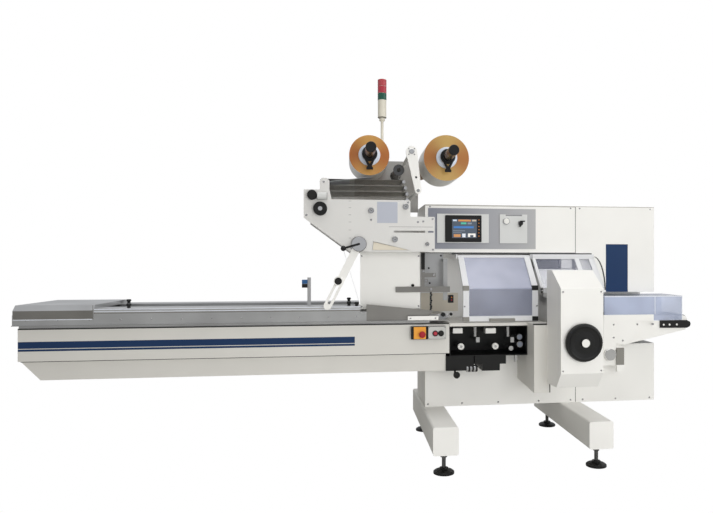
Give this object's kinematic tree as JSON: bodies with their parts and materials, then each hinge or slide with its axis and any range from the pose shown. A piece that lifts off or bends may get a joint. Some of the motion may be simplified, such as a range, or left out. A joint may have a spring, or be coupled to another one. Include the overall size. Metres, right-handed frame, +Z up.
{
  "type": "horizontal flow wrapper",
  "caption": "Horizontal flow wrapping machine: long infeed conveyor, film reels over a forming station, guarded sealing area, control cabinet and short discharge conveyor.",
  "frame": {"origin": "centre of the overall box, on the floor under the levelling pads", "axes": "+X along the product line towards the discharge, +Y from the operator's side to the back, +Z up"},
  "size_m": [3.911, 1.166, 2.331],
  "materials": {
    "black_rubber": "moulded rubber",
    "zinc_steel": "bright zinc plated",
    "white_paint": "satin powder coat",
    "stainless": "brushed stainless",
    "steel_bar": "ground bar",
    "black_plastic": "moulded, satin",
    "black_paint": "satin powder coat",
    "guard_frame_metal": "anodised satin",
    "clear_guard": "clear polycarbonate",
    "red_plastic": "moulded, gloss",
    "belt": "smooth conveyor belt",
    "amber_film": "wound film",
    "ochre_film": "wound film",
    "film": "packaging film",
    "lamp_plastic": "ribbed lenses"
  },
  "bodies": {
    "machine": {"levelling_pads": "black_rubber", "levelling_studs": "zinc_steel", "foot_beams": "white_paint", "base_cabinet": "white_paint", "control_housing": "white_paint", "electrical_cabinet": "white_paint", "infeed_body": "white_paint", "end_sealer_guard": "white_paint", "end_sealer_column": "white_paint", "film_front_plate": "white_paint", "film_rear_frame": "white_paint", "side_guard_panel": "white_paint", "slotted_arm": "white_paint", "bearing_link": "white_paint", "discharge_frame": "white_paint", "discharge_drive_unit": "white_paint", "infeed_tail_cover": "white_paint", "infeed_pan": "stainless", "infeed_side_rails": "stainless", "control_panel": "stainless", "former_plates": "stainless", "former_linkage": "stainless", "work_area_fittings": "stainless", "unwind_back_plate": "stainless", "product_sensor_post": "stainless", "end_sealer_head": "stainless", "unwind_spindles": "steel_bar", "drive_parts": "steel_bar", "infeed_chain": "steel_bar", "touchscreen": "black_plastic", "film_plate_knobs": "black_plastic", "operator_boxes": "black_plastic", "discharge_nose_blocks": "black_plastic", "drive_bay_housing": "black_paint", "sealer_upper_frame": "guard_frame_metal", "sealer_upper_pane": "clear_guard", "discharge_cover": "clear_guard", "discharge_belt": "belt", "film_web": "film", "signal_tower": "lamp_plastic"},
    "left_reel": {"reel_left": "amber_film"},
    "right_reel": {"reel_right": "ochre_film"},
    "hand_wheel": {"handwheel": "black_plastic"},
    "guard_door": {"guard_door_frame": "guard_frame_metal", "guard_door_panes": "clear_guard"},
    "stop_button": {"emergency_stop_button": "red_plastic"}
  },
  "joints": [
    {"name": "left_reel_spin", "type": "hinge", "parent": "machine", "child": "left_reel", "pos_m": [-0.0745, 0.073, 1.789], "axis": [0, 1, 0], "continuous": true},
    {"name": "right_reel_spin", "type": "hinge", "parent": "machine", "child": "right_reel", "pos_m": [0.3855, 0.073, 1.783], "axis": [0, 1, 0], "continuous": true},
    {"name": "hand_wheel_turn", "type": "hinge", "parent": "machine", "child": "hand_wheel", "pos_m": [1.0495, -0.56, 0.729], "axis": [0, 1, 0], "continuous": true},
    {"name": "guard_door_lift", "type": "hinge", "parent": "machine", "child": "guard_door", "pos_m": [0.6945, 0.011, 1.192], "axis": [-1, 0, 0], "range_deg": [0, 80]},
    {"name": "stop_button_press", "type": "slide", "parent": "machine", "child": "stop_button", "axis": [0, 1, 0], "range_m": [0, 0.005], "stiffness_N_per_m": 1000}
  ]
}
